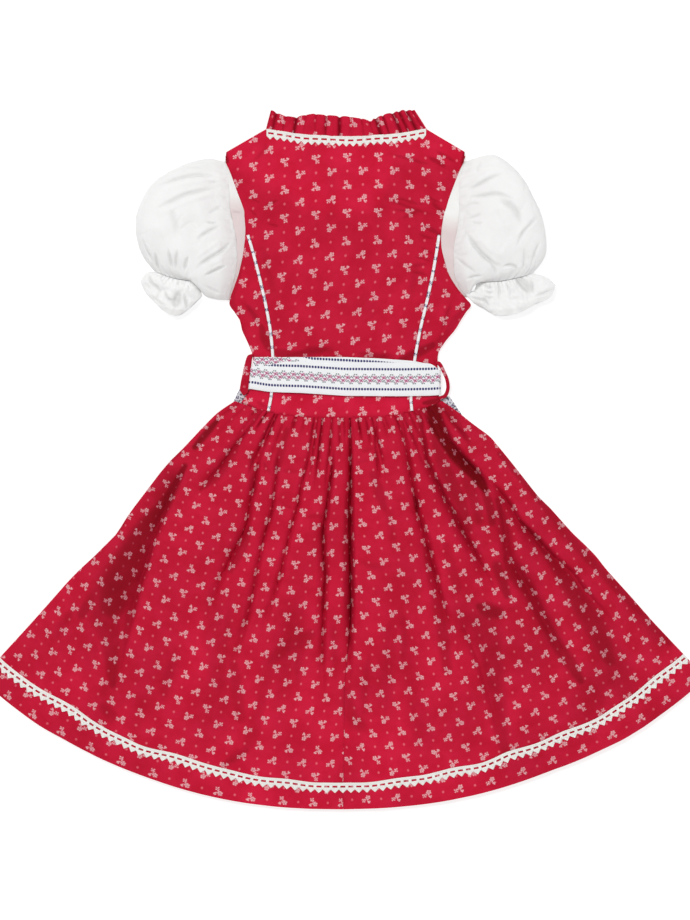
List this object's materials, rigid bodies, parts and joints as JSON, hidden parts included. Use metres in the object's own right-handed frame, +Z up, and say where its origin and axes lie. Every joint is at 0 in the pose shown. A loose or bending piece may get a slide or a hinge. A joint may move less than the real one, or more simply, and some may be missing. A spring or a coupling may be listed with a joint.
{
  "type": "child's dirndl",
  "caption": "Dirndl laid flat with its back up: gathered skirt, fitted bodice, puff sleeves, neck ruffle, lace trims and an apron tied across the back waist.",
  "frame": {"origin": "middle of the laid dress's outline, on the surface that it lies on", "axes": "+X across the dress, +Y from the hem to the neck, +Z up out of the surface; the dress lies on its front and its back looks up"},
  "size_m": [0.7264, 0.6988, 0.0287],
  "materials": {
    "red_print_cotton": "matt woven cotton with a small printed sprig",
    "white_cotton": "matt plain weave",
    "white_piping": "matt woven, with dark blue flecks",
    "ivory_lace": "crocheted cotton thread",
    "woven_band": "smooth woven cotton with dotted edges and a row of small roses",
    "grey_apron_cotton": "matt printed cotton"
  },
  "bodies": {
    "root": {"apron": "grey_apron_cotton", "apron_waistband": "woven_band", "armhole_strip_left": "white_cotton", "armhole_strip_right": "white_cotton", "belt_loop_left": "red_print_cotton", "belt_loop_right": "red_print_cotton", "bodice_back": "red_print_cotton", "bodice_front_left": "red_print_cotton", "bodice_front_right": "red_print_cotton", "bodice_side_back_left": "red_print_cotton", "bodice_side_back_right": "red_print_cotton", "hem_lace_back": "ivory_lace", "hem_lace_front": "ivory_lace", "neck_lace_back": "ivory_lace", "neck_lace_front": "ivory_lace", "neck_ruffle_back": "red_print_cotton", "neck_ruffle_front": "red_print_cotton", "piping_left": "white_piping", "piping_right": "white_piping", "skirt_back_left": "red_print_cotton", "skirt_back_right": "red_print_cotton", "skirt_front": "red_print_cotton", "sleeve_frill_left": "white_cotton", "sleeve_frill_right": "white_cotton", "sleeve_left": "white_cotton", "sleeve_right": "white_cotton", "tie_inner": "woven_band", "tie_outer": "woven_band"}
  },
  "joints": []
}
